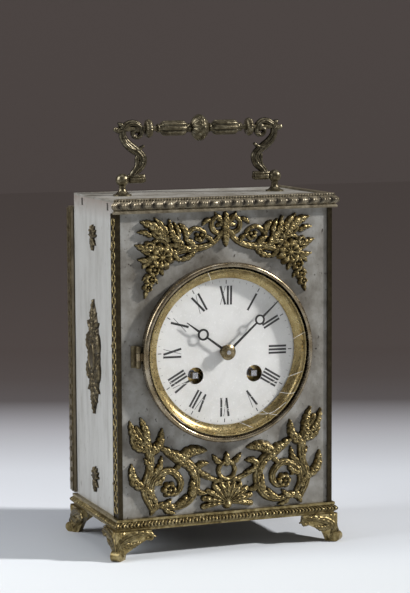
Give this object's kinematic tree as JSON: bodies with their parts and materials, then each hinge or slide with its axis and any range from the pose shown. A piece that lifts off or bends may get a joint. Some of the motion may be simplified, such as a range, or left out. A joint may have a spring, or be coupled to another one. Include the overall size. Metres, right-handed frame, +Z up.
{
  "type": "officer clock",
  "caption": "Upright carriage clock with a swinging handle, hinged round bezel over an enamel dial, applied leafy mounts, a hinged rear door and a spring-driven striking movement.",
  "frame": {"origin": "centre of the overall footprint, on the surface the feet stand on", "axes": "+X to the dial's right as seen from the front, +Y from the front to the rear door, +Z up"},
  "size_m": [0.1397, 0.09, 0.2423],
  "materials": {
    "silvered_sheet": "worn silver plate, mottled, satin",
    "gilt_brass": "old gilding, darkened in the hollows",
    "movement_brass": "grained",
    "steel": "satin",
    "black_steel": "blued dark",
    "enamel": "glossy white enamel with black figures",
    "glass": "clear"
  },
  "bodies": {
    "case": {"front_panel": "silvered_sheet", "left_side_panel": "silvered_sheet", "right_side_panel": "silvered_sheet", "top_panel": "silvered_sheet", "base_plate": "silvered_sheet", "rear_frame": "silvered_sheet", "front_left_strip": "gilt_brass", "front_right_strip": "gilt_brass", "top_front_moulding": "gilt_brass", "top_right_moulding": "gilt_brass", "base_front_moulding": "gilt_brass", "base_rear_moulding": "gilt_brass", "base_left_moulding": "gilt_brass", "base_right_moulding": "gilt_brass", "front_left_foot": "gilt_brass", "front_right_foot": "gilt_brass", "rear_left_foot": "gilt_brass", "rear_right_foot": "gilt_brass", "foot_screws": "steel", "upper_garland": "gilt_brass", "lower_rinceau": "gilt_brass", "side_cartouches": "gilt_brass", "side_rosettes": "gilt_brass", "panel_pins": "gilt_brass", "left_handle_post": "gilt_brass", "right_handle_post": "gilt_brass", "post_nuts": "movement_brass", "hinge_leaves": "gilt_brass", "hinge_pins": "gilt_brass", "dial": "enamel", "dial_plate": "movement_brass", "movement_front_plate": "movement_brass", "movement_back_plate": "movement_brass", "platform_escapement": "movement_brass", "bell": "steel"},
    "handle": {"handle_left_bracket": "gilt_brass", "handle_right_bracket": "gilt_brass", "handle_rod": "gilt_brass", "handle_collars": "gilt_brass", "handle_knop": "gilt_brass", "handle_barrels": "gilt_brass"},
    "door": {"rear_door": "silvered_sheet", "door_strips": "gilt_brass"},
    "turn_button": {"door_turn_button": "gilt_brass"},
    "front_bezel": {"bezel": "gilt_brass", "sight_ring": "gilt_brass", "bezel_glass": "glass"},
    "centre_train": {"centre_arbor": "movement_brass", "minute_hand": "black_steel", "hand_nut": "movement_brass"},
    "motion_wheel": {"minute_wheel": "movement_brass"},
    "hour_train": {"hour_wheel": "movement_brass", "hour_hand": "black_steel"},
    "going_drum": {"going_barrel": "movement_brass"},
    "strike_drum": {"strike_barrel": "movement_brass"},
    "going_key_arbor": {"going_winding_arbor": "steel"},
    "strike_key_arbor": {"strike_winding_arbor": "steel"},
    "balance": {"balance_wheel": "movement_brass"},
    "bell_hammer": {"hammer": "steel"}
  },
  "joints": [
    {"name": "handle_swing", "type": "hinge", "parent": "case", "child": "handle", "pos_m": [0, 0.0015, 0.2062], "axis": [1, 0, 0], "range_deg": [-90, 90]},
    {"name": "door_hinge", "type": "hinge", "parent": "case", "child": "door", "pos_m": [0.068, 0.038, 0.1065], "axis": [0, 0, -1], "range_deg": [0, 110]},
    {"name": "turn_button_turn", "type": "hinge", "parent": "door", "child": "turn_button", "pos_m": [-0.0468, 0.04, 0.1082], "axis": [0, -1, 0], "range_deg": [0, 90]},
    {"name": "bezel_hinge", "type": "hinge", "parent": "case", "child": "front_bezel", "pos_m": [-0.0521, -0.0406, 0.1122], "axis": [0, 0, -1], "range_deg": [0, 110]},
    {"name": "going_barrel_turn", "type": "hinge", "parent": "case", "child": "going_drum", "pos_m": [-0.01772, -0.02, 0.09951], "axis": [0, 1, 0], "continuous": true},
    {"name": "centre_turn", "type": "hinge", "parent": "case", "child": "centre_train", "pos_m": [0, -0.02, 0.1122], "axis": [0, 1, 0], "continuous": true},
    {"name": "minute_wheel_turn", "type": "hinge", "parent": "case", "child": "motion_wheel", "pos_m": [0.00021, -0.033, 0.1242], "axis": [0, 1, 0], "continuous": true},
    {"name": "hour_turn", "type": "hinge", "parent": "case", "child": "hour_train", "pos_m": [0, -0.035, 0.1122], "axis": [0, 1, 0], "continuous": true},
    {"name": "strike_barrel_turn", "type": "hinge", "parent": "case", "child": "strike_drum", "pos_m": [0.01727, -0.02, 0.0989], "axis": [0, 1, 0], "continuous": true},
    {"name": "going_winding", "type": "hinge", "parent": "case", "child": "going_key_arbor", "pos_m": [-0.01772, -0.02, 0.09951], "axis": [0, 1, 0], "continuous": true},
    {"name": "strike_winding", "type": "hinge", "parent": "case", "child": "strike_key_arbor", "pos_m": [0.01727, -0.02, 0.0989], "axis": [0, 1, 0], "continuous": true},
    {"name": "balance_swing", "type": "hinge", "parent": "case", "child": "balance", "pos_m": [0.00075, -0.0176, 0.15969], "axis": [0, 0, 1], "range_deg": [-135, 135], "stiffness_Nm_per_rad": 0.00001},
    {"name": "hammer_lift", "type": "hinge", "parent": "case", "child": "bell_hammer", "pos_m": [0.03632, 0.002, 0.10514], "axis": [0, -1, 0], "range_deg": [0, 15], "stiffness_Nm_per_rad": 0.002, "springref_deg": -28.65}
  ],
  "couplings": [
    {"joint": "going_barrel_turn", "follows": "centre_turn", "ratio": -0.15556},
    {"joint": "minute_wheel_turn", "follows": "centre_turn", "ratio": -0.33333},
    {"joint": "hour_turn", "follows": "centre_turn", "ratio": 0.083333}
  ]
}
